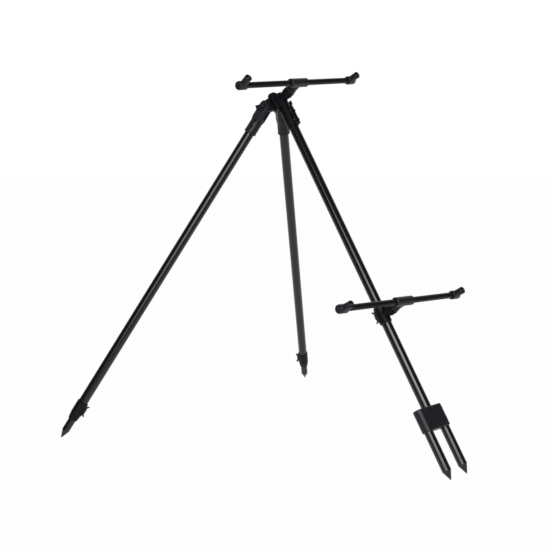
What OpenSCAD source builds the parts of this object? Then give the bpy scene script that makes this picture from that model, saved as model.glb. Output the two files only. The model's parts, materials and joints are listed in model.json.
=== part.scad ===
// Three-legged rod pod for two rods: a main leg with a twin-spike foot, two folding
// telescopic front legs, a front buzz bar on the hub and a rear buzz bar on a slider.
// Millimetres, +Z up, ground at z = 0, main leg in the XZ plane with its foot towards +X.

/* [Stance] */
// Height of the hub point on the main leg's axis above the ground
hub_height = 718; // [640:1:800]
// Lean of the main leg from the vertical, in degrees
main_lean = 33.4; // [29:0.1:37]
// Angle between the main leg and an opened front leg, in degrees
open_angle = 58.3; // [52:0.1:62]
// Turn of each front leg's swing plane away from straight ahead, in degrees
splay_turn = 30.4; // [28:0.1:34]

/* [Tubes] */
// Outer diameter of the main leg and the outer front leg tubes
tube_d = 20; // [18:0.1:22]
// Wall of the main and outer leg tubes
tube_wall = 1.2; // [1:0.1:1.6]
// Outer diameter of the sliding inner leg tubes
inner_d = 16; // [14:0.1:16.4]
// Wall of the inner leg tubes
inner_wall = 1.2; // [0.8:0.1:1.6]
// Length of an inner leg tube
inner_len = 689.9364; // [500:0.0001:700]
// Length of inner leg that shows below its clamp, above the pointed tip
foot_show = 28; // [12:1:200]
// Outer diameter of a buzz bar arm
arm_d = 12; // [11:0.1:13]
// Wall of a buzz bar arm
arm_wall = 1.2; // [0.8:0.1:1.6]

/* [Points] */
// Radius of the rounded end of every ground point
tip_r = 1.2; // [0.8:0.1:2]
// Length of the cone on every ground point
cone_len = 17; // [12:1:24]
// Length of the plug that holds a pointed tip in its inner leg
tip_plug = 22; // [12:1:30]
// Length of the guide bush at the top of an inner leg
guide_len = 12; // [8:0.5:16]

/* [Hub] */
// Wall of the hub sleeve round the main tube
hub_wall = 2.2; // [1.8:0.1:3]
// Length of the hub sleeve below the hub point
hub_low = 84; // [78:1:100]
// Height of the hub's closed top above the hub point, or below it where negative
hub_top = -3; // [-4:0.5:6]
// Rounding of the hub's top edges
hub_round = 4; // [2:0.5:5]
// Distance from the hub point down the main leg to the leg pivots
pivot_drop = 17.6; // [16:0.1:20]
// Reach of a leg pivot in front of the main axis, along its swing plane
pivot_reach = 35; // [33:0.1:40]
// Sideways step of a swing plane from the main axis
pivot_offset = 7.4; // [7:0.1:9]
// Thickness of a hub lug
lug_t = 12; // [10:0.1:13]
// Radius of a hub lug round its pivot
lug_r = 11.4; // [10:0.1:12]
// Height of a hub lug above its pivot, at the sleeve
lug_rise = 14; // [11.5:0.5:20]
// Depth of a hub lug below its pivot, at the sleeve
lug_fall = 16; // [11.5:0.5:20]
// Radius of the rounded barrel on each hub lug
barrel_r = 9.6; // [9:0.1:10.4]
// Distance of a barrel from the main axis, along its swing plane
barrel_reach = 11.6; // [10:0.1:14]
// Height of a barrel above its pivot
barrel_rise = 20; // [18:0.1:23]
// Depth of a barrel below its pivot
barrel_fall = 20.4; // [17:0.1:21]
// Stand-out of the hub's clamp ears beyond the sleeve
ear_out = 6; // [5.5:0.1:8]
// Width of the two clamp ears together
ear_w = 13; // [12:0.1:16]
// Length of the clamp ears down the main leg
ear_len = 42; // [36:1:44]
// Width of the slit between the ears
slit_w = 1.6; // [1:0.1:2.4]
// Reach of the slit above the ears
slit_past = 3; // [2:0.5:6]
// Distance of each clamp screw from its end of the ears
ear_screw_in = 10; // [8:0.5:12]
// Length of the recess between the clamp screws
recess_len = 10.4; // [8:0.1:12]
// Width of the recess between the clamp screws
recess_w = 5; // [4:0.1:5.6]
// Depth of the recess between the clamp screws
recess_depth = 2; // [1:0.1:3]

/* [Leg sockets] */
// Wall of a socket round its leg tube
socket_wall = 2.6; // [2.4:0.1:3.2]
// Distance from a pivot to the lower edge of its socket
socket_low = 63; // [58:0.5:75]
// Distance from a pivot to the top of the leg tube in its socket
socket_floor = 27; // [26:0.5:30]
// Thickness of the solid shoulder above the tube's end
shoulder_t = 3.5; // [2.5:0.5:4]
// Thickness of a socket cheek
cheek_t = 6.4; // [6.2:0.1:7]
// Radius of a cheek round its pivot
cheek_r = 12; // [10:0.1:12.6]
// Stand-out of the knuckle beyond the socket's wall
knuckle_out = 2; // [1.2:0.1:2.4]
// Length over which the knuckle swells out of the socket
knuckle_blend = 9; // [6:0.5:10]
// Distance from a pivot to the first socket screw
socket_screw_at = 36; // [34:0.5:40]
// Spacing of the two socket screws
socket_screw_gap = 14; // [10:0.5:18]
// Bevel on the lower edge of a socket
socket_bevel = 1.6; // [0.8:0.1:2]
// Stand-out of the rim round a socket's lower end
socket_rim = 0.6; // [0.4:0.1:1]
// Length of the rim round a socket's lower end
socket_rim_len = 4; // [3:0.5:6]

/* [Leg clamps] */
// Wall of a clamp collar round its outer tube
clamp_wall = 1.8; // [1.6:0.1:2.4]
// Length of a clamp collar
clamp_len = 44; // [40:1:60]
// Length of outer tube held in the collar
clamp_grip = 29; // [27:0.5:32]
// Distance from the collar's top edge to its wing screw
clamp_screw_at = 16; // [15:0.5:17]
// Length of the taper at the collar's lower end
clamp_taper = 14; // [6:0.5:14.5]
// Narrowing of the collar at its lower end
clamp_narrow = 2; // [0.6:0.1:2.2]
// Turn of the left clamp about its leg, in degrees
left_clamp_turn = 201; // [150:1:240]
// Turn of the right clamp about its leg, in degrees
right_clamp_turn = -66; // [-100:1:-40]

/* [Wing screws] */
// Span of a clamp wing screw
wing_span = 25; // [20:0.5:26]
// Span of a pivot wing nut
nut_span = 30; // [24:0.5:32]
// Height of the wings
wing_h = 5; // [4:0.1:6]
// Thickness of a wing screw's wings
wing_t = 4.4; // [3:0.1:5]
// Thickness of a pivot nut's wings
nut_wing_t = 9; // [7:0.1:10]
// Radius of the lip at the end of a wing
wing_lip = 1.3; // [1:0.1:1.6]
// Thickness of the bridge between two wings
wing_web = 2.2; // [1.6:0.1:3]
// Slope of a wing's outer end
wing_slope = 2.5; // [1:0.1:4]
// Distance from a wing's end to the start of its upsweep
wing_sweep = 5; // [4:0.1:7]
// Wall of a wing screw's hub round its thread
wing_hub = 2; // [1.4:0.1:2.6]
// Wall of a pivot nut's hub round its bolt
nut_hub = 1.9; // [1.6:0.1:2.4]
// Step from the ends of the wings down to their hub
wing_step = 2.4; // [0.4:0.1:2.6]
// Turn of a pivot nut about its bolt, in degrees
nut_turn = -7; // [-60:1:90]
// Width of the flat pad under a wing screw
pad_w = 9; // [8.4:0.1:11]
// Stand-out of the pad under a wing screw
pad_out = 0.7; // [0.4:0.1:1]
// Diameter of a wing screw's thread
wing_screw_d = 6; // [5:0.1:7]
// Diameter of a pivot bolt
pivot_bolt_d = 7; // [6:0.1:8]
// Diameter of a pivot bolt's head
bolt_head_d = 13; // [11:0.1:14]
// Thickness of a pivot bolt's head
bolt_head_t = 4.5; // [3:0.1:5]
// Length of the neck that lifts a pivot nut's wings off its cheek
nut_neck = 3; // [2.6:0.1:5]
// Length of pivot bolt that the nut covers
nut_depth = 7; // [6:0.1:7.6]
// Thickness of the nut's closed top over the bolt
nut_cap = 1.3; // [1:0.1:2]

/* [Buzz bars] */
// Distance from the hub point down the main leg to the front bar's stem
front_drop = 15.4; // [14:0.1:18]
// Distance from the hub point down the main leg to the rear bar's stem
rear_drop = 520; // [400:1:560]
// Turn of the front bar about its stem, in degrees
front_turn = 4; // [-10:0.1:10]
// Turn of the rear bar about its stem, in degrees
rear_turn = -2.5; // [-10:0.1:10]
// Distance from the main axis to a bar's axis
bar_stand = 60; // [58:0.5:66]
// Diameter of a stem boss
boss_d = 20; // [18:0.1:22]
// Distance from the main axis to the top of a stem boss
boss_top = 19.6; // [19:0.1:23]
// Diameter of a lock ring
ring_d = 23; // [21:0.1:25]
// Height of a lock ring
ring_h = 13; // [11:0.1:14]
// Number of grip grooves round a lock ring
ring_grooves = 20; // [12:1:26]
// Radius of a grip groove
groove_r = 0.9; // [0.6:0.1:1.2]
// Diameter of the threaded stem
stud_d = 10; // [8:0.1:11]
// Depth of the stem in its boss
stud_in = 8.4; // [7:0.1:8.6]
// Depth of the stem in its tee
stud_up = 14; // [9:0.1:16]
// Diameter of a tee
tee_d = 18.4; // [17:0.1:20]
// Diameter of a tee's neck
neck_d = 17.6; // [16.4:0.1:18.2]
// Length of a tee along its bar
tee_len = 50; // [40:1:60]
// Diameter of the collar under a tee
tee_collar_d = 20; // [19:0.1:22]
// Height of the collar under a tee
tee_collar_h = 7; // [3:0.1:8]
// Depth of an arm in its tee
arm_in_tee = 19; // [14:0.5:19.5]
// Bevel on the ends of a tee
tee_bevel = 1.2; // [0.6:0.1:1.6]

/* [Bar ends] */
// Distance from the middle of a bar to each rod rest socket
rest_at = 166; // [150:0.5:220]
// Shift of the front bar's rest sockets towards the right
front_shift = 2.5; // [-6:0.5:6]
// Shift of the rear bar's rest sockets towards the right
rear_shift = -5; // [-6:0.5:6]
// Lean of the front left rest socket up the main leg, in degrees
front_left_lean = 5; // [-15:0.5:15]
// Lean of the front right rest socket up the main leg, in degrees
front_right_lean = -6; // [-15:0.5:15]
// Lean of the rear left rest socket up the main leg, in degrees
rear_left_lean = -6; // [-15:0.5:15]
// Lean of the rear right rest socket up the main leg, in degrees
rear_right_lean = -3; // [-15:0.5:15]
// Diameter of the barrel round the bar under a rest socket
end_d = 17.8; // [17.2:0.1:19]
// Half the length of that barrel
end_half = 9.4; // [8:0.1:11]
// Bevel on the ends of the barrel
end_bevel = 1.2; // [0.6:0.1:1.6]
// Distance that an arm reaches beyond the rest socket's axis
arm_past = 3; // [2:0.1:4]
// Outer diameter of a rest socket
mouth_d = 14.4; // [14:0.1:15]
// Height of the socket's mouth above the bar's axis
mouth_h = 24.4; // [24:0.1:27]
// Tapping bore of the rod rest socket
thread_d = 8.4; // [8:0.1:8.6]
// Outer diameter of the threaded bush
bush_d = 11; // [10.4:0.1:11.2]
// Diameter of the bush's flange
flange_d = 12.6; // [12:0.1:13]
// Thickness of the bush's flange
flange_t = 1.4; // [1:0.1:1.6]
// Length of the bush below its flange
bush_len = 14.4; // [9:0.1:14.6]
// Thickness of the bush's closed floor
bush_floor = 1.2; // [0.8:0.1:2]
// Diameter of the plug that closes the barrel's outer end
cap_d = 16.6; // [15:0.1:17]
// Stand-out of that plug from the barrel
cap_len = 2.6; // [2.2:0.1:4]
// Rounding of the plug's outer edge
cap_round = 1.1; // [0.6:0.1:1.1]
// Diameter of the plug's spigot
spigot_d = 9; // [7:0.1:10]
// Length of the plug's spigot
spigot_len = 4; // [3:0.1:4.4]

/* [Slider] */
// Wall of the slider round the main tube
slider_wall = 2.4; // [2.2:0.1:3.2]
// Length of the slider
slider_len = 37; // [34:1:46]
// Turn of the slider's wing screw about the main leg, in degrees
slider_wing_turn = 230; // [200:1:250]
// Rounding of the slider's end edges
slider_round = 1.6; // [0.8:0.1:2]

/* [Spike foot] */
// Diameter of a fork spike
spike_d = 18; // [14:0.1:18.4]
// Spacing of the two fork spikes
spike_gap = 51; // [44:0.5:60]
// Length of a fork spike below its block, with the cone
spike_show = 95; // [60:1:140]
// Length of a spike in its block
spike_in = 39; // [30:0.5:41]
// Length of the main tube in the block
tube_in_block = 38; // [30:0.5:41]
// Length of the block
block_len = 45; // [43:1:56]
// Wall of the block outside the spikes
block_side = 2.2; // [1.6:0.1:4]
// Wall of the block over the main tube
block_face = 1.6; // [1.4:0.1:3]
// Corner radius of the block
block_round = 10.6; // [6:0.1:11]
// Bevel round the block's two ends
block_bevel = 1.5; // [0.8:0.1:2]
// Spacing of the block screws along the block
block_screw_l = 21; // [18:0.5:24]
// Height of the block screws above the middle of the block
block_screw_up = 2; // [-3:0.5:3]
// Depth of a block screw below its head
block_screw_depth = 4; // [2.4:0.1:5]

/* [Small screws] */
// Diameter of the small screws
screw_d = 4; // [3:0.1:4.4]
// Diameter of the small screws' heads
screw_head_d = 7; // [6:0.1:7.4]
// Height of the small screws' heads
screw_head_h = 2.4; // [1.8:0.1:2.8]
// Depth that a head sinks into its seat
seat_depth = 1; // [0.6:0.1:1.4]
// Width of the key socket in a head, corner to corner
key_d = 3; // [2:0.1:3.4]
// Depth of the key socket in a head
key_depth = 1.2; // [0.8:0.1:1.6]

/* [Edges] */
// Bevel on the edges of the moulded pieces
edge = 0.8; // [0.4:0.1:1]
// Bevel on the edges of the small screws, nuts and bolts
fine_edge = 0.6; // [0.3:0.1:0.8]

/* [Clearances] */
// Gap all round a glued or pressed joint
fit_gap = 0.05; // [0.02:0.01:0.1]
// Gap all round a sliding or turning joint
run_gap = 0.08; // [0.04:0.01:0.1]
// Gap between the faces of pieces that move past each other
face_gap = 0.3; // [0.2:0.05:0.5]

/* [Hidden] */
$fn = 48;
side_left = -1;
side_right = 1;
over = 1;

tube_r = tube_d/2;
tube_bore_r = tube_r - tube_wall;
inner_r = inner_d/2;
arm_r = arm_d/2;
hub_r = tube_r + hub_wall;
socket_r = tube_r + socket_wall;
clamp_r = tube_r + clamp_wall;
slider_r = tube_r + slider_wall;
screw_r = screw_d/2;
head_r = screw_head_d/2;
bolt_r = pivot_bolt_d/2;
wing_screw_r = wing_screw_d/2;
stud_r = stud_d/2;

// Pivot of a front leg in the main leg's frame, then its height above the ground
pivot_s = pivot_offset*sin(splay_turn) - pivot_reach*cos(splay_turn);
pivot_z = hub_height + pivot_s*sin(main_lean) - pivot_drop*cos(main_lean);
leg_rise = cos(open_angle)*cos(main_lean) + sin(open_angle)*cos(splay_turn)*sin(main_lean);
// Distance from a pivot, or from the hub point, to the centre of a rounded ground point
leg_reach = (pivot_z - tip_r)/leg_rise;
main_reach = (hub_height - tip_r)/cos(main_lean);

// Places down a front leg, from its pivot
clamp_bottom = leg_reach - cone_len - foot_show;
clamp_top = clamp_bottom - clamp_len;
outer_end = clamp_top + clamp_grip;
inner_top = leg_reach - cone_len - inner_len;
clamp_screw_down = clamp_top + clamp_screw_at;
cheek_in = lug_t/2 + face_gap;
cheek_out = cheek_in + cheek_t;
shoulder_top = socket_floor - shoulder_t;
knuckle_r = socket_r + knuckle_out;
knuckle_low = socket_floor + knuckle_blend;
socket_screw_places = [socket_screw_at, socket_screw_at + socket_screw_gap];

// Places down the main leg, from the hub point
block_low = main_reach - spike_show;
block_high = block_low - block_len;
main_tube_end = block_high + tube_in_block;
main_tube_top = hub_top - hub_wall;
block_half = spike_gap/2 + spike_d/2 + block_side;
block_face_at = tube_r + block_face;
ear_s = hub_r + ear_out/3;
ear_top = hub_low - ear_len;
ear_mid = hub_low - ear_len/2;
ear_screw_places = [ear_top + ear_screw_in, hub_low - ear_screw_in];

// Wing screws: where each pair of wings starts along its own axis
clamp_pad = clamp_r + pad_out;
slider_pad = slider_r + pad_out;
nut_base = cheek_out + face_gap;

// Stem pieces along the stem, from the main axis
ring_low = boss_top + face_gap;
neck_low = ring_low + ring_h + face_gap;
front_bar = [front_drop, front_turn, front_shift];
rear_bar = [rear_drop, rear_turn, rear_shift];

// Centre of the footprint, so that the origin lies under the middle of the object
main_tip_x = main_reach*sin(main_lean);
leg_run_x = cos(open_angle)*sin(main_lean) - sin(open_angle)*cos(splay_turn)*cos(main_lean);
pivot_x = pivot_s*cos(main_lean) + pivot_drop*sin(main_lean);
front_tip_x = pivot_x + leg_reach*leg_run_x;
hub_x = -(main_tip_x + front_tip_x)/2;

moulding = "#1f2022";
anodised = "#111114";
steel = "#4a4b4f";
bush_metal = "#2c2c2f";

// Frame of the main leg: z up the leg, x square to it towards the rods, y across
module at_hub() {
    translate([hub_x, 0, hub_height]) rotate([0, -main_lean, 0]) children();
}

// Frame of a front leg's pivot: x out along the swing plane, y outwards along the pivot bolt
module at_pivot(side) {
    at_hub() translate([0, 0, -pivot_drop]) rotate([0, 0, 180 - side*splay_turn])
        outwards(side) translate([pivot_reach, pivot_offset, 0]) children();
}

// Flips the right-hand pieces so that +y points away from the middle on both sides
module outwards(side) {
    if (side > 0) mirror([0, 1, 0]) children();
    else children();
}

// Frame of an opened front leg: z up the leg, y along its pivot bolt
module at_leg(side) {
    at_pivot(side) rotate([0, -open_angle, 0]) children();
}

// Frame of a bar, given as [drop, turn, shift]: origin on the main axis, x up the stem, y along the bar
module at_bar(bar) {
    at_hub() translate([0, 0, -bar[0]]) rotate([bar[1], 0, 0]) children();
}

// Frame of a bar end: origin on the bar's axis, y outwards, x up the stem
module at_end(bar, side) {
    at_bar(bar) translate([bar_stand, 0, 0]) if (side > 0) children();
    else mirror([0, 1, 0]) children();
}

// Distance from the middle of a bar to the rest socket on one side
function rest_place(bar, side) = rest_at + side*bar[2];

// Frame of a rest socket: origin on the bar's axis, y outwards, x up out of the socket
module at_rest(bar, side, lean) {
    at_end(bar, side) translate([0, rest_place(bar, side), 0]) rotate([0, -lean, 0]) children();
}

// Cylinder along +y that starts at y = from
module rod_y(r, from, to) {
    translate([0, from, 0]) rotate([-90, 0, 0]) cylinder(r = r, h = to - from);
}

// Cylinder along +x that starts at x = from
module rod_x(r, from, to) {
    translate([from, 0, 0]) rotate([0, 90, 0]) cylinder(r = r, h = to - from);
}

// Cylinder along z between two heights
module rod_z(r, from, to) {
    translate([0, 0, from]) cylinder(r = r, h = to - from);
}

// Barrel along z with a bevel at each end, either of which may be 0
module bevelled_rod(r, from, to, low_bevel, high_bevel) {
    low = low_bevel > 0 ? [[r - low_bevel, from], [r, from + low_bevel]] : [[r, from]];
    high = high_bevel > 0 ? [[r, to - high_bevel], [r - high_bevel, to]] : [[r, to]];
    rotate_extrude() polygon(concat([[0, from]], low, high, [[0, to]]));
}

// Barrel along z with a bevelled foot and a rounded top
module rounded_post(r, from, to) {
    core = r - hub_round;
    rotate_extrude() {
        polygon([[0, from], [r - edge, from], [r, from + edge], [r, to - hub_round],
            [core, to - hub_round], [core, to], [0, to]]);
        translate([core, to - hub_round]) circle(r = hub_round);
    }
}

// Pointed end: rounded tip centred on the origin, cone and shank up along z
module ground_point(r) {
    sphere(r = tip_r);
    cylinder(r1 = tip_r, r2 = r, h = cone_len);
}

// Small cap screw along z, its head's underside at z = 0
module small_screw(shank) {
    difference() {
        union() {
            bevelled_rod(head_r, 0, screw_head_h, 0, fine_edge);
            rod_z(screw_r, -shank, over);
        }
        translate([0, 0, screw_head_h - key_depth]) cylinder(d = key_d, h = screw_head_h, $fn = 6);
    }
}

// Pair of upswept wings across x with their underside at z = 0
module wings(span, thick) {
    reach = span/2;
    lip_at = wing_h - wing_lip;
    rotate([90, 0, 0]) linear_extrude(height = thick, center = true) {
        for (way = [0, 1]) mirror([way, 0]) {
            polygon([[0, 0], [reach - wing_slope, 0], [reach, lip_at],
                [reach - 2*wing_lip, lip_at], [reach - wing_sweep, wing_web], [0, wing_web]]);
            translate([reach - wing_lip, lip_at]) circle(r = wing_lip);
        }
    }
}

// Wing screw along z: wings start at z = start, thread ends at z = tip
module wing_screw(start, tip) {
    translate([0, 0, start]) wings(wing_span, wing_t);
    bevelled_rod(wing_screw_r + wing_hub, start, start + wing_h - wing_step, 0, fine_edge);
    rod_z(wing_screw_r, tip, start + over);
}

// Outline of a hub lug in its swing plane, pivot at the origin, sleeve towards -x
module lug_outline() {
    inner = -pivot_reach;
    circle(r = lug_r);
    polygon([[0, lug_r], [inner + hub_r, lug_rise], [inner, lug_rise],
        [inner, -lug_fall], [inner + hub_r, -lug_fall], [0, -lug_r]]);
}

module hub_body() {
    ear_round = 3;
    ear_far = hub_r + ear_out;
    recess_run = recess_len - recess_w;
    color(moulding) difference() {
        union() {
            at_hub() rounded_post(hub_r, -hub_low, hub_top);
            at_hub() translate([0, 0, -front_drop]) rod_x(boss_d/2, 0, boss_top);
            at_hub() translate([0, 0, -hub_low]) linear_extrude(height = ear_len) {
                translate([0, -ear_w/2]) square([ear_far - ear_round, ear_w]);
                translate([0, -ear_w/2 + ear_round]) square([ear_far, ear_w - 2*ear_round]);
                for (way = [-1, 1]) translate([ear_far - ear_round, way*(ear_w/2 - ear_round)])
                    circle(r = ear_round);
            }
            for (side = [side_left, side_right]) at_pivot(side) {
                rotate([90, 0, 0]) linear_extrude(height = lug_t, center = true) lug_outline();
                translate([barrel_reach - pivot_reach, 0, 0])
                    rounded_post(barrel_r, -barrel_fall, barrel_rise);
            }
        }
        at_hub() rod_z(tube_r + fit_gap, -hub_low - over, main_tube_top);
        at_hub() translate([0, 0, -front_drop])
            rod_x(stud_r + run_gap, boss_top - stud_in - face_gap, boss_top + over);
        at_hub() translate([tube_r - over, -slit_w/2, -hub_low - over])
            cube([ear_far, slit_w, ear_len + slit_past + over]);
        for (down = ear_screw_places) at_hub() translate([ear_s, 0, -down]) {
            rod_y(screw_r + fit_gap, -ear_w, ear_w);
            rod_y(head_r + fit_gap, -ear_w, seat_depth - ear_w/2);
            rod_y(head_r + fit_gap, ear_w/2 - seat_depth, ear_w);
        }
        for (way = [-1, 1]) at_hub() translate([ear_s, way*ear_w/2, -ear_mid]) rotate([90, 0, 0])
            linear_extrude(height = 2*recess_depth, center = true) {
                square([recess_w, recess_run], center = true);
                for (end = [-1, 1]) translate([0, end*recess_run/2]) circle(r = recess_w/2);
            }
        for (side = [side_left, side_right]) at_pivot(side)
            rod_y(bolt_r + run_gap, -lug_t, lug_t);
    }
}

module hub_clamp_screws() {
    color(steel) for (down = ear_screw_places) at_hub() translate([ear_s, 0, -down]) {
        translate([0, seat_depth - ear_w/2, 0]) rotate([90, 0, 0]) small_screw(ear_w - 2*seat_depth);
        translate([0, ear_w/2 - seat_depth, 0]) rotate([-90, 0, 0]) difference() {
            cylinder(r = head_r, h = screw_head_h, $fn = 6);
            rod_z(screw_r, -over, screw_head_h + over);
        }
    }
}

module main_tube() {
    color(anodised) at_hub() difference() {
        rod_z(tube_r, -main_tube_end, main_tube_top - face_gap);
        rod_z(tube_bore_r, -main_tube_end - over, main_tube_top + over);
        block_screw_holes();
    }
}

// Bevelled outline of the block, as high as the block is long
module block_outline(half) {
    polygon([[block_bevel - half, 0], [half - block_bevel, 0], [half, block_bevel],
        [half, block_len - block_bevel], [half - block_bevel, block_len],
        [block_bevel - half, block_len], [-half, block_len - block_bevel], [-half, block_bevel]]);
}

// Bevelled block with rounded corners, its lower end at z = 0
module block_body() {
    flat_s = block_face_at - block_round;
    flat_b = block_half - block_round;
    rotate([90, 0, 0]) linear_extrude(height = 2*flat_b, center = true) block_outline(block_face_at);
    rotate([90, 0, 90]) linear_extrude(height = 2*flat_s, center = true) block_outline(block_half);
    for (i = [-1, 1], j = [-1, 1]) translate([i*flat_s, j*flat_b, 0])
        bevelled_rod(block_round, 0, block_len, block_bevel, block_bevel);
}

module spike_block() {
    color(moulding) at_hub() difference() {
        translate([0, 0, -block_low]) block_body();
        rod_z(tube_r + fit_gap, -main_tube_end - fit_gap, over - block_high);
        for (way = [-1, 1]) translate([0, way*spike_gap/2, 0])
            rod_z(spike_d/2 + fit_gap, -block_low - over, spike_in + fit_gap - block_low);
        block_screw_holes();
        at_block_screws() rod_z(head_r + fit_gap, 0, 2*over);
    }
}

// Six screws in the face towards the rods, two to each spike and two to the tube, heads seated at z = 0
module at_block_screws() {
    middle = block_low - block_len/2 - block_screw_up;
    for (i = [-1, 0, 1], j = [-1, 1])
        translate([block_face_at - seat_depth, i*spike_gap/2, j*block_screw_l/2 - middle])
            rotate([0, 90, 0]) children();
}

module block_screw_holes() {
    at_block_screws() rod_z(screw_r + fit_gap, -block_screw_depth, over);
}

module block_screws() {
    color(steel) at_hub() at_block_screws() small_screw(block_screw_depth - face_gap);
}

module fork_spike(side) {
    color(anodised) at_hub() difference() {
        translate([0, side*spike_gap/2, -main_reach]) {
            ground_point(spike_d/2);
            rod_z(spike_d/2, cone_len, spike_show + spike_in);
        }
        block_screw_holes();
    }
}

module pivot_bolt(side) {
    color(steel) at_pivot(side) {
        rod_y(bolt_r, -cheek_out - face_gap, nut_base + nut_depth);
        translate([0, -cheek_out - face_gap - bolt_head_t, 0]) rotate([-90, 0, 0])
            bevelled_rod(bolt_head_d/2, 0, bolt_head_t, fine_edge, 0);
    }
}

module pivot_wing(side) {
    color(moulding) at_pivot(side) translate([0, nut_base, 0]) rotate([-90, 0, 0]) rotate([0, 0, nut_turn])
        difference() {
            union() {
                bevelled_rod(bolt_r + nut_hub, 0, nut_depth + face_gap + nut_cap, fine_edge, edge);
                translate([0, 0, nut_neck]) wings(nut_span, nut_wing_t);
            }
            rod_z(bolt_r + fit_gap, -over, nut_depth + face_gap);
        }
}

module leg_socket(side) {
    color(moulding) at_leg(side) difference() {
        union() {
            bevelled_rod(socket_r, -socket_low, -shoulder_top, socket_bevel, edge);
            bevelled_rod(socket_r + socket_rim, -socket_low, socket_rim_len - socket_low, socket_bevel, socket_rim);
            intersection() {
                for (from = [-cheek_out, cheek_in]) translate([0, from + cheek_t, 0]) rotate([90, 0, 0])
                    linear_extrude(height = cheek_t) {
                        circle(r = cheek_r);
                        translate([-cheek_r, -knuckle_low]) square([2*cheek_r, knuckle_low]);
                    }
                union() {
                    rod_z(knuckle_r, -socket_floor, cheek_r);
                    translate([0, 0, -knuckle_low])
                        cylinder(r1 = socket_r, r2 = knuckle_r, h = knuckle_blend);
                }
            }
        }
        rod_z(tube_r + fit_gap, -socket_low - over, -socket_floor);
        rod_y(bolt_r + run_gap, -socket_r - over, socket_r + over);
        at_socket_screws() {
            rod_z(screw_r + fit_gap, tube_bore_r - socket_r, over);
            rod_z(head_r + fit_gap, 0, 3*over);
        }
    }
}

// Two screws in the outward flank of a socket, z out of the flank, heads seated at z = 0
module at_socket_screws() {
    for (down = socket_screw_places) translate([0, socket_r - seat_depth, -down])
        rotate([-90, 0, 0]) children();
}

module socket_screws(side) {
    color(steel) at_leg(side) at_socket_screws() small_screw(socket_r - seat_depth - tube_bore_r);
}

module outer_tube(side, clamp_turn) {
    color(anodised) at_leg(side) difference() {
        rod_z(tube_r, -outer_end, -socket_floor - fit_gap);
        rod_z(tube_bore_r, -outer_end - over, over);
        translate([0, 0, -clamp_screw_down]) rotate([0, 0, clamp_turn])
            rod_x(wing_screw_r + face_gap, 0, tube_r + over);
        at_socket_screws() rod_z(screw_r + fit_gap, -socket_r/2, 0);
    }
}

module leg_clamp(side, clamp_turn) {
    taper_top = clamp_taper - clamp_bottom;
    low_r = clamp_r - clamp_narrow;
    color(moulding) at_leg(side) rotate([0, 0, clamp_turn]) difference() {
        union() {
            rotate_extrude() polygon([[0, -clamp_bottom], [low_r, -clamp_bottom], [clamp_r, taper_top],
                [clamp_r, -clamp_top - edge], [clamp_r - edge, -clamp_top], [0, -clamp_top]]);
            translate([0, -pad_w/2, -clamp_screw_down - wing_span/2])
                cube([clamp_pad, pad_w, wing_span]);
        }
        rod_z(tube_r + fit_gap, -outer_end, over - clamp_top);
        rod_z(inner_r + run_gap, -clamp_bottom - over, over - outer_end);
        translate([0, 0, -clamp_screw_down]) rod_x(wing_screw_r + run_gap, 0, clamp_pad + over);
    }
}

module clamp_wing(side, clamp_turn) {
    color(moulding) at_leg(side) translate([0, 0, -clamp_screw_down]) rotate([0, 0, clamp_turn])
        rotate([0, 90, 0]) wing_screw(clamp_pad + face_gap, inner_r + face_gap);
}

module inner_tube(side) {
    color(anodised) at_leg(side) difference() {
        rod_z(inner_r, cone_len - leg_reach, -inner_top);
        rod_z(inner_r - inner_wall, cone_len - leg_reach - over, over - inner_top);
    }
}

module guide(side) {
    color(moulding) at_leg(side) {
        rod_z(tube_bore_r - run_gap, -inner_top, guide_len - inner_top);
        rod_z(inner_r - inner_wall - fit_gap, -inner_top - guide_len, over - inner_top);
    }
}

module tip(side) {
    color(steel) at_leg(side) translate([0, 0, -leg_reach]) {
        ground_point(inner_r);
        rod_z(inner_r - inner_wall - fit_gap, cone_len - over, cone_len + tip_plug);
    }
}

module stem(bar) {
    color(steel) at_bar(bar) rod_x(stud_r, boss_top - stud_in, neck_low + stud_up);
}

module lock_ring(bar) {
    color(anodised) at_bar(bar) translate([ring_low, 0, 0]) rotate([0, 90, 0]) difference() {
        bevelled_rod(ring_d/2, 0, ring_h, edge, edge);
        rod_z(stud_r + run_gap, -over, ring_h + over);
        for (i = [1 : ring_grooves]) rotate([0, 0, i*360/ring_grooves])
            translate([ring_d/2 + groove_r/3, 0, 0]) rod_z(groove_r, -over, ring_h + over);
    }
}

module tee(bar) {
    color(moulding) at_bar(bar) difference() {
        union() {
            translate([bar_stand, 0, 0]) rotate([-90, 0, 0])
                bevelled_rod(tee_d/2, -tee_len/2, tee_len/2, tee_bevel, tee_bevel);
            rod_x(neck_d/2, neck_low, bar_stand);
            translate([neck_low, 0, 0]) rotate([0, 90, 0])
                bevelled_rod(tee_collar_d/2, 0, tee_collar_h, edge, edge);
        }
        translate([bar_stand, 0, 0]) for (way = [-1, 1]) scale([1, way, 1])
            rod_y(arm_r + fit_gap, tee_len/2 - arm_in_tee, tee_len/2 + over);
        rod_x(stud_r + fit_gap, neck_low - over, neck_low + stud_up + fit_gap);
    }
}

module arm(bar, side) {
    from = tee_len/2 - arm_in_tee + fit_gap;
    to = rest_place(bar, side) + arm_past;
    color(anodised) at_end(bar, side) difference() {
        rod_y(arm_r, from, to);
        rod_y(arm_r - arm_wall, from - over, to + over);
    }
}

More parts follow.
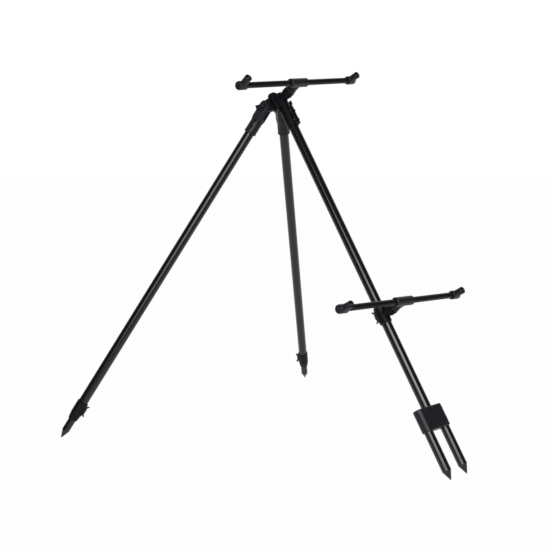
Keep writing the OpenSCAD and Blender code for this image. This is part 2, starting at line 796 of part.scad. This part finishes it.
// Fitting on a bar's end: a barrel round the arm, and the rest socket that stands on it
module bar_end(bar, side, lean) {
    color(moulding) at_rest(bar, side, lean) difference() {
        union() {
            rotate([-90, 0, 0]) bevelled_rod(end_d/2, -end_half, end_half, end_bevel, fine_edge);
            rotate([0, 90, 0]) bevelled_rod(mouth_d/2, 0, mouth_h, 0, fine_edge);
        }
        rod_y(arm_r + fit_gap, -end_half - over, arm_past + fit_gap);
        rod_y(spigot_d/2 + fit_gap, 0, end_half + over);
        rod_x(bush_d/2 + fit_gap, mouth_h - flange_t - bush_len - fit_gap, mouth_h);
        rod_x(flange_d/2 + fit_gap, mouth_h - flange_t, mouth_h + over);
    }
}

module bush(bar, side, lean) {
    color(bush_metal) at_rest(bar, side, lean) translate([mouth_h - flange_t, 0, 0]) difference() {
        union() {
            rod_x(flange_d/2, 0, flange_t + face_gap);
            rod_x(bush_d/2, -bush_len, over);
        }
        rod_x(thread_d/2, bush_floor - bush_len, flange_t + over);
    }
}

// Plug in the barrel's outer end, z outwards along the bar
module end_cap(bar, side, lean) {
    core = cap_d/2 - cap_round;
    color(moulding) at_rest(bar, side, lean) translate([0, end_half, 0]) rotate([-90, 0, 0]) {
        rotate_extrude() {
            polygon([[0, 0], [cap_d/2, 0], [cap_d/2, cap_len - cap_round],
                [core, cap_len - cap_round], [core, cap_len], [0, cap_len]]);
            translate([core, cap_len - cap_round]) circle(r = cap_round);
        }
        rod_z(spigot_d/2, -spigot_len, over);
    }
}

module rear_slider() {
    color(moulding) at_hub() translate([0, 0, -rear_drop]) difference() {
        union() {
            bevelled_rod(slider_r, -slider_len/2, slider_len/2, slider_round, slider_round);
            rod_x(boss_d/2, 0, boss_top);
            rotate([0, 0, slider_wing_turn]) translate([0, -pad_w/2, -wing_span/2])
                cube([slider_pad, pad_w, wing_span]);
        }
        rod_z(tube_r + run_gap, -slider_len, slider_len);
        rod_x(stud_r + run_gap, boss_top - stud_in - face_gap, boss_top + over);
        rotate([0, 0, slider_wing_turn]) rod_x(wing_screw_r + run_gap, 0, slider_pad + over);
    }
}

module rear_slider_wing() {
    color(moulding) at_hub() translate([0, 0, -rear_drop]) rotate([0, 0, slider_wing_turn])
        rotate([0, 90, 0]) wing_screw(slider_pad + face_gap, tube_r + face_gap);
}

hub_body();
hub_clamp_screws();
main_tube();
spike_block();
block_screws();
fork_spike(side_left);  // left_fork_spike
fork_spike(side_right);  // right_fork_spike
pivot_bolt(side_left);  // left_pivot_bolt
pivot_bolt(side_right);  // right_pivot_bolt
pivot_wing(side_left);  // left_pivot_wing
pivot_wing(side_right);  // right_pivot_wing
leg_socket(side_left);  // left_socket
leg_socket(side_right);  // right_socket
socket_screws(side_left);  // left_socket_screws
socket_screws(side_right);  // right_socket_screws
outer_tube(side_left, left_clamp_turn);  // left_outer_tube
outer_tube(side_right, right_clamp_turn);  // right_outer_tube
leg_clamp(side_left, left_clamp_turn);  // left_clamp
leg_clamp(side_right, right_clamp_turn);  // right_clamp
clamp_wing(side_left, left_clamp_turn);  // left_clamp_wing
clamp_wing(side_right, right_clamp_turn);  // right_clamp_wing
inner_tube(side_left);  // left_inner_tube
inner_tube(side_right);  // right_inner_tube
guide(side_left);  // left_guide
guide(side_right);  // right_guide
tip(side_left);  // left_tip
tip(side_right);  // right_tip
stem(front_bar);  // front_stem
lock_ring(front_bar);  // front_lock_ring
tee(front_bar);  // front_tee
arm(front_bar, side_left);  // front_left_arm
arm(front_bar, side_right);  // front_right_arm
bar_end(front_bar, side_left, front_left_lean);  // front_left_end
bar_end(front_bar, side_right, front_right_lean);  // front_right_end
bush(front_bar, side_left, front_left_lean);  // front_left_bush
bush(front_bar, side_right, front_right_lean);  // front_right_bush
end_cap(front_bar, side_left, front_left_lean);  // front_left_cap
end_cap(front_bar, side_right, front_right_lean);  // front_right_cap
rear_slider();
rear_slider_wing();
stem(rear_bar);  // rear_stem
lock_ring(rear_bar);  // rear_lock_ring
tee(rear_bar);  // rear_tee
arm(rear_bar, side_left);  // rear_left_arm
arm(rear_bar, side_right);  // rear_right_arm
bar_end(rear_bar, side_left, rear_left_lean);  // rear_left_end
bar_end(rear_bar, side_right, rear_right_lean);  // rear_right_end
bush(rear_bar, side_left, rear_left_lean);  // rear_left_bush
bush(rear_bar, side_right, rear_right_lean);  // rear_right_bush
end_cap(rear_bar, side_left, rear_left_lean);  // rear_left_cap
end_cap(rear_bar, side_right, rear_right_lean);  // rear_right_cap
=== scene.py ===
import json
import math
import bpy
import numpy as np
from mathutils import Matrix, Vector


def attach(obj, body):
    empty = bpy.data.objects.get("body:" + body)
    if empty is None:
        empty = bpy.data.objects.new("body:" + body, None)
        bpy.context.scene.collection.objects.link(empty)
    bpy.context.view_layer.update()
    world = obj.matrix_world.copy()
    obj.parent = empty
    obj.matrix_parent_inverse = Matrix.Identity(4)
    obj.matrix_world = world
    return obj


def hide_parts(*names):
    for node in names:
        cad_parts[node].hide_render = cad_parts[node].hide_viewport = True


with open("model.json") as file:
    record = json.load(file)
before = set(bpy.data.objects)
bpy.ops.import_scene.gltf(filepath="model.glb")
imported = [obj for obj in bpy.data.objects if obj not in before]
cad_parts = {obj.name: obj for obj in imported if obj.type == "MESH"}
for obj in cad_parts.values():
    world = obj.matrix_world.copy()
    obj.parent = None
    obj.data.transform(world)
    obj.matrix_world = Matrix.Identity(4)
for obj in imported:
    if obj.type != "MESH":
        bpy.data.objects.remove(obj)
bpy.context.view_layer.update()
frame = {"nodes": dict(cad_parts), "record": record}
scene = bpy.context.scene
scene.view_settings.view_transform = "Standard"

# camera solved from the edges of the tubes and bars in the photograph, in metres and degrees
photoCamera = {
    "place": (1.4736, -1.5855, 0.6483),
    "heading": 44.94,
    "pitch": 7.98,
    "roll": -0.24,
    "lens": 69.0,
    "sensor": 36.0,
    "clipEnd": 50.0,
}


def makeCamera(spec):
    data = bpy.data.cameras.new("photoCamera")
    data.lens = spec["lens"]
    data.sensor_width = spec["sensor"]
    data.clip_end = spec["clipEnd"]
    camera = bpy.data.objects.new("photoCamera", data)
    scene.collection.objects.link(camera)
    turn = Matrix.Rotation(math.radians(spec["heading"]), 4, "Z")
    tilt = Matrix.Rotation(math.radians(90.0 - spec["pitch"]), 4, "X")
    roll = Matrix.Rotation(math.radians(spec["roll"]), 4, "Z")
    camera.matrix_world = Matrix.Translation(spec["place"]) @ turn @ tilt @ roll
    scene.camera = camera


makeCamera(photoCamera)
print("camera set")

# a tall softbox beside the camera, a smaller one above it, and a white sweep behind and below the object
studio = {
    "keyPlace": (1.58, -2.04, 1.24),
    "keyAim": (0.05, -0.03, 0.36),
    "keySize": (1.9, 2.1),
    "keyPower": 56.0,
    "topPlace": (1.72, -1.20, 1.54),
    "topAim": (0.20, 0.0, 0.25),
    "topSize": (1.15, 0.75),
    "topPower": 18.0,
    "ambient": 0.09,
    "sweepStart": 0.30,      # the sweep's white fades in between these two cosines
    "sweepEnd": 0.75,        # of the angle from the camera's heading
    "whiteStart": -0.46,     # reflections show the floor white behind this line, and matte before it
    "whiteEnd": -0.34,
    "floorFront": 3.0,       # reach of the floor towards the camera, then behind and sideways
    "floorBack": 12.0,
    "floorSide": 12.0,
    "floorColour": (0.40, 0.40, 0.40, 1.0),
    "floorWhite": 0.985,     # share of the floor's look that is plain white
}
heading = math.radians(photoCamera["heading"])
awayFromCamera = Vector((-math.sin(heading), math.cos(heading), 0.0))


def linkNodes(tree, *pairs):
    for source, target in pairs:
        tree.links.new(source, target)


def makeSoftbox(name, place, aim, size, power):
    data = bpy.data.lights.new(name, "AREA")
    data.shape = "RECTANGLE"
    data.size, data.size_y = size
    data.energy = power
    lamp = bpy.data.objects.new(name, data)
    lamp.location = place
    lamp.rotation_euler = (Vector(aim) - Vector(place)).to_track_quat("-Z", "Y").to_euler()
    scene.collection.objects.link(lamp)


def mathNode(tree, operation, first, second):
    node = tree.nodes.new("ShaderNodeMath")
    node.operation = operation
    for index, value in enumerate((first, second)):
        if isinstance(value, (int, float)):
            node.inputs[index].default_value = value
        else:
            tree.links.new(value, node.inputs[index])
    return node.outputs[0]


def seenRays(tree, glossShare):
    # 1 for rays that show the background: camera and transmission rays, and glossy rays by their share
    path = tree.nodes.new("ShaderNodeLightPath")
    gloss = mathNode(tree, "MULTIPLY", path.outputs["Is Glossy Ray"], glossShare)
    direct = mathNode(tree, "MAXIMUM", path.outputs["Is Camera Ray"], path.outputs["Is Transmission Ray"])
    return mathNode(tree, "MAXIMUM", direct, gloss)


def shareBehind(tree, coordinate, start, end):
    # the white lies behind the object, so reflections towards the camera's side miss it
    coords = tree.nodes.new("ShaderNodeTexCoord")
    dot = tree.nodes.new("ShaderNodeVectorMath")
    dot.operation = "DOT_PRODUCT"
    dot.inputs[1].default_value = awayFromCamera
    fade = tree.nodes.new("ShaderNodeMapRange")
    fade.interpolation_type = "SMOOTHSTEP"
    fade.inputs["From Min"].default_value = start
    fade.inputs["From Max"].default_value = end
    linkNodes(tree,
              (coords.outputs[coordinate], dot.inputs[0]),
              (dot.outputs["Value"], fade.inputs["Value"]))
    return fade.outputs["Result"]


def makeWorld(spec):
    world = bpy.data.worlds.new("whiteStudio")
    world.use_nodes = True
    tree = world.node_tree
    tree.nodes.clear()
    out = tree.nodes.new("ShaderNodeOutputWorld")
    mix = tree.nodes.new("ShaderNodeMixShader")
    dim = tree.nodes.new("ShaderNodeBackground")
    dim.inputs["Strength"].default_value = spec["ambient"]
    white = tree.nodes.new("ShaderNodeBackground")
    for one in (dim, white):
        one.inputs["Color"].default_value = (1.0, 1.0, 1.0, 1.0)
    share = shareBehind(tree, "Generated", spec["sweepStart"], spec["sweepEnd"])
    linkNodes(tree,
              (seenRays(tree, share), mix.inputs[0]),
              (dim.outputs[0], mix.inputs[1]),
              (white.outputs[0], mix.inputs[2]),
              (mix.outputs[0], out.inputs["Surface"]))
    scene.world = world


def makeFloor(spec):
    across = awayFromCamera.cross(Vector((0.0, 0.0, 1.0)))
    corners = [awayFromCamera*along + across*aside for along, aside in (
        (-spec["floorFront"], -spec["floorSide"]), (-spec["floorFront"], spec["floorSide"]),
        (spec["floorBack"], spec["floorSide"]), (spec["floorBack"], -spec["floorSide"]))]
    mesh = bpy.data.meshes.new("studioFloor")
    mesh.from_pydata([tuple(corner) for corner in corners], [], [(0, 1, 2, 3)])
    floor = bpy.data.objects.new("studioFloor", mesh)
    scene.collection.objects.link(floor)
    material = bpy.data.materials.new("paleFloor")
    material.use_nodes = True
    tree = material.node_tree
    tree.nodes.clear()
    out = tree.nodes.new("ShaderNodeOutputMaterial")
    matte = tree.nodes.new("ShaderNodeBsdfDiffuse")
    matte.inputs["Color"].default_value = spec["floorColour"]
    white = tree.nodes.new("ShaderNodeEmission")
    white.inputs["Strength"].default_value = 1.0
    mix = tree.nodes.new("ShaderNodeMixShader")
    behind = shareBehind(tree, "Object", spec["whiteStart"], spec["whiteEnd"])
    share = mathNode(tree, "MULTIPLY", seenRays(tree, behind), spec["floorWhite"])
    linkNodes(tree,
              (share, mix.inputs[0]),
              (matte.outputs[0], mix.inputs[1]),
              (white.outputs[0], mix.inputs[2]),
              (mix.outputs[0], out.inputs["Surface"]))
    mesh.materials.append(material)


makeWorld(studio)
makeFloor(studio)
makeSoftbox("keySoftbox", studio["keyPlace"], studio["keyAim"], studio["keySize"], studio["keyPower"])
makeSoftbox("topSoftbox", studio["topPlace"], studio["topAim"], studio["topSize"], studio["topPower"])
print("studio lit")


def newGroup(name, inputs, outputs):
    group = bpy.data.node_groups.new(name, "ShaderNodeTree")
    for direction, rows in (("INPUT", inputs), ("OUTPUT", outputs)):
        for label, kind in rows:
            group.interface.new_socket(label, in_out=direction, socket_type=kind)
    return group, group.nodes.new("NodeGroupInput"), group.nodes.new("NodeGroupOutput")


# fine speckle for roughness and height, and a slow cloud that varies the colour
grainMix = {"grainDetail": 3.0, "cloudDetail": 4.0, "grainShare": 0.5, "cloudShare": 0.5}


def makeGrainGroup(spec):
    group, given, result = newGroup(
        "surfaceGrain",
        [("Vector", "NodeSocketVector"), ("Grain Scale", "NodeSocketFloat"),
         ("Cloud Scale", "NodeSocketFloat"), ("Dark", "NodeSocketColor"), ("Light", "NodeSocketColor"),
         ("Rough Low", "NodeSocketFloat"), ("Rough Span", "NodeSocketFloat")],
        [("Color", "NodeSocketColor"), ("Roughness", "NodeSocketFloat"), ("Height", "NodeSocketFloat")])
    grain = group.nodes.new("ShaderNodeTexNoise")
    grain.inputs["Detail"].default_value = spec["grainDetail"]
    cloud = group.nodes.new("ShaderNodeTexNoise")
    cloud.inputs["Detail"].default_value = spec["cloudDetail"]
    linkNodes(group,
              (given.outputs["Vector"], grain.inputs["Vector"]),
              (given.outputs["Grain Scale"], grain.inputs["Scale"]),
              (given.outputs["Vector"], cloud.inputs["Vector"]),
              (given.outputs["Cloud Scale"], cloud.inputs["Scale"]))
    blend = mathNode(group, "ADD", mathNode(group, "MULTIPLY", grain.outputs[0], spec["grainShare"]),
                     mathNode(group, "MULTIPLY", cloud.outputs[0], spec["cloudShare"]))
    tint = group.nodes.new("ShaderNodeMix")
    tint.data_type = "RGBA"      # its colours are inputs 6 and 7 and output 2
    linkNodes(group,
              (blend, tint.inputs["Factor"]),
              (given.outputs["Dark"], tint.inputs[6]),
              (given.outputs["Light"], tint.inputs[7]),
              (tint.outputs[2], result.inputs["Color"]),
              (grain.outputs[0], result.inputs["Height"]))
    rough = mathNode(group, "MULTIPLY", blend, given.outputs["Rough Span"])
    group.links.new(mathNode(group, "ADD", rough, given.outputs["Rough Low"]), result.inputs["Roughness"])
    return group


surfaceGrain = makeGrainGroup(grainMix)


def makeFinish(name, spec):
    material = bpy.data.materials.new(name)
    material.use_nodes = True
    tree = material.node_tree
    shader = tree.nodes["Principled BSDF"]
    coords = tree.nodes.new("ShaderNodeTexCoord")
    grain = tree.nodes.new("ShaderNodeGroup")
    grain.node_tree = surfaceGrain
    for label, key in (("Grain Scale", "grainScale"), ("Cloud Scale", "cloudScale"),
                       ("Rough Low", "roughLow"), ("Rough Span", "roughSpan")):
        grain.inputs[label].default_value = spec[key]
    for label, key in (("Dark", "dark"), ("Light", "light")):
        grain.inputs[label].default_value = (*spec[key], 1.0)
    bump = tree.nodes.new("ShaderNodeBump")
    bump.inputs["Strength"].default_value = spec["bump"]
    bump.inputs["Distance"].default_value = spec["bumpDepth"]
    shader.inputs["Metallic"].default_value = spec.get("metallic", 0.0)
    shader.inputs["Specular IOR Level"].default_value = spec["specular"]
    linkNodes(tree,
              (coords.outputs["Object"], grain.inputs["Vector"]),
              (grain.outputs["Color"], shader.inputs["Base Color"]),
              (grain.outputs["Roughness"], shader.inputs["Roughness"]),
              (grain.outputs["Height"], bump.inputs["Height"]),
              (bump.outputs[0], shader.inputs["Normal"]))
    return material


mouldedBlack = {
    "dark": (0.0058, 0.0053, 0.0086), "light": (0.0108, 0.0101, 0.0150),
    "grainScale": 1500.0, "cloudScale": 20.0, "roughLow": 0.36, "roughSpan": 0.14,
    "bump": 0.18, "bumpDepth": 0.00015, "specular": 0.30,
}
# painted shade: the hub, the rings, the slider and the collars get a darker, less glossy copy of the
# moulded black, standing in for the shade that falls on them round the hub
paintedShadeBlack = {
    **mouldedBlack,
    "nodes": ("hub_body", "front_lock_ring", "rear_lock_ring", "rear_slider", "left_clamp", "right_clamp"),
    "dark": (0.0026, 0.0024, 0.0039), "light": (0.0049, 0.0046, 0.0068), "specular": 0.14,
}
anodisedBlack = {
    "dark": (0.0028, 0.0026, 0.0042), "light": (0.0056, 0.0053, 0.0075),
    "grainScale": 1200.0, "cloudScale": 9.0, "roughLow": 0.15, "roughSpan": 0.08,
    "bump": 0.015, "bumpDepth": 0.00004, "specular": 0.44,
}
satinArm = {
    "dark": (0.0034, 0.0032, 0.0036), "light": (0.0070, 0.0066, 0.0072),
    "grainScale": 1300.0, "cloudScale": 16.0, "roughLow": 0.32, "roughSpan": 0.12,
    "bump": 0.05, "bumpDepth": 0.0001, "specular": 0.12,
}
satinPoint = {
    "dark": (0.0034, 0.0032, 0.0046), "light": (0.0072, 0.0069, 0.0090),
    "grainScale": 1400.0, "cloudScale": 30.0, "roughLow": 0.15, "roughSpan": 0.09,
    "bump": 0.03, "bumpDepth": 0.00005, "specular": 0.44,
}
blackenedSteel = {
    "dark": (0.0022, 0.0021, 0.0028), "light": (0.0052, 0.0050, 0.0062),
    "grainScale": 1800.0, "cloudScale": 60.0, "roughLow": 0.22, "roughSpan": 0.12,
    "bump": 0.06, "bumpDepth": 0.0001, "specular": 0.34,
}
darkBush = {
    "dark": (0.02, 0.02, 0.021), "light": (0.04, 0.04, 0.042),
    "grainScale": 1800.0, "cloudScale": 60.0, "roughLow": 0.34, "roughSpan": 0.14,
    "bump": 0.1, "bumpDepth": 0.0001, "specular": 0.5, "metallic": 1.0,
}
finishes = {
    "moulded_plastic": makeFinish("mouldedBlack", mouldedBlack),
    "anodised_tube": makeFinish("anodisedBlack", anodisedBlack),
    "arm_tube": makeFinish("satinArm", satinArm),
    "ground_point": makeFinish("satinPoint", satinPoint),
    "dark_steel": makeFinish("blackenedSteel", blackenedSteel),
    "thread_bush": makeFinish("darkBush", darkBush),
}
# darker copy of the moulded black, painted shade for the pieces round the hub
paintedShadeFinish = makeFinish("paintedShadeBlack", paintedShadeBlack)
for row in frame["record"]["subparts"]:
    finish = paintedShadeFinish if row["node"] in paintedShadeBlack["nodes"] else finishes[row["material_slot"]]
    for slot in frame["nodes"][row["node"]].material_slots:
        slot.material = finish

# threaded bush of a rest socket, in metres: 20 turns to the inch in a blind bore
threadedBush = {
    "outer": 0.0055, "flange": 0.0063, "flangeThick": 0.0017, "edge": 0.0002,
    "length": 0.0161, "floor": 0.0012,
    "bore": 0.0042, "depth": 0.00056, "pitch": 0.00127, "lead": 0.0007,
    "around": 96, "perTurn": 10, "sharpAngle": 50.0,
}


def makeThreadedBush(name, node, body, mount, spec):
    # section up the outside, over the flange and down the bore, swept round the socket's axis; in the bore
    # the radius is bore + depth * (1 - cos(phase)) / 2, where phase grows with height and falls with angle
    axis = np.array(mount["axis"])
    side = np.cross(axis, (0.0, 0.0, 1.0))
    side /= np.linalg.norm(side)
    across = np.cross(axis, side)
    source = frame["nodes"][node].data
    points = np.empty(len(source.vertices)*3)
    source.vertices.foreach_get("co", points)
    centre = np.array(mount["pos_m"])
    base = centre + axis*((points.reshape(-1, 3) - centre) @ axis).min()
    top, edge = spec["length"], spec["edge"]
    wall = [(spec["outer"], 0.0), (spec["outer"], top - spec["flangeThick"]),
            (spec["flange"], top - spec["flangeThick"]), (spec["flange"], top - edge),
            (spec["flange"] - edge, top), (spec["bore"] + spec["lead"], top)]
    rows = int((top - spec["floor"])/spec["pitch"]*spec["perTurn"])
    boreHeight = np.linspace(top - edge, spec["floor"], rows)
    height = np.concatenate([[point[1] for point in wall], boreHeight])
    angle = np.linspace(0.0, 2.0*np.pi, spec["around"], endpoint=False)
    phase = 2.0*np.pi*boreHeight[:, None]/spec["pitch"] - angle[None, :]
    bore = spec["bore"] + spec["depth"]*(1.0 - np.cos(phase))/2.0
    mouth = spec["bore"] + spec["lead"] - (top - boreHeight)
    bore = np.maximum(bore, mouth[:, None])
    outside = np.repeat(np.array([point[0] for point in wall])[:, None], spec["around"], axis=1)
    radius = np.concatenate([outside, bore])
    grid = (base + axis*height[:, None, None]
            + side*(radius*np.cos(angle))[:, :, None] + across*(radius*np.sin(angle))[:, :, None])
    vertices = np.concatenate([grid.reshape(-1, 3), [base, base + axis*spec["floor"]]])
    index = np.arange(grid.shape[0]*spec["around"]).reshape(grid.shape[0], spec["around"])
    after = np.roll(index, -1, axis=1)
    quads = np.stack([index[:-1], after[:-1], after[1:], index[1:]], axis=-1).reshape(-1, 4)
    last = len(vertices) - 1
    under = np.stack([after[0], index[0], np.full(spec["around"], last - 1)], axis=-1)
    inner = np.stack([index[-1], after[-1], np.full(spec["around"], last)], axis=-1)
    mesh = bpy.data.meshes.new(name)
    mesh.from_pydata(vertices.tolist(), [], quads.tolist() + under.tolist() + inner.tolist())
    mesh.shade_smooth()
    mesh.set_sharp_from_angle(angle=math.radians(spec["sharpAngle"]))
    piece = bpy.data.objects.new(name, mesh)
    scene.collection.objects.link(piece)
    mesh.materials.append(finishes["thread_bush"])
    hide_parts(node)
    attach(piece, body)


sockets = {mount["name"]: mount for mount in frame["record"]["mounts"]}
for bar in ("front", "rear"):
    for hand in ("left", "right"):
        makeThreadedBush(f"{bar}{hand.title()}Thread", f"{bar}_{hand}_bush", f"{bar}_bar",
                         sockets[f"{bar}_{hand}_rest_socket"], threadedBush)
print("threaded bushes made")
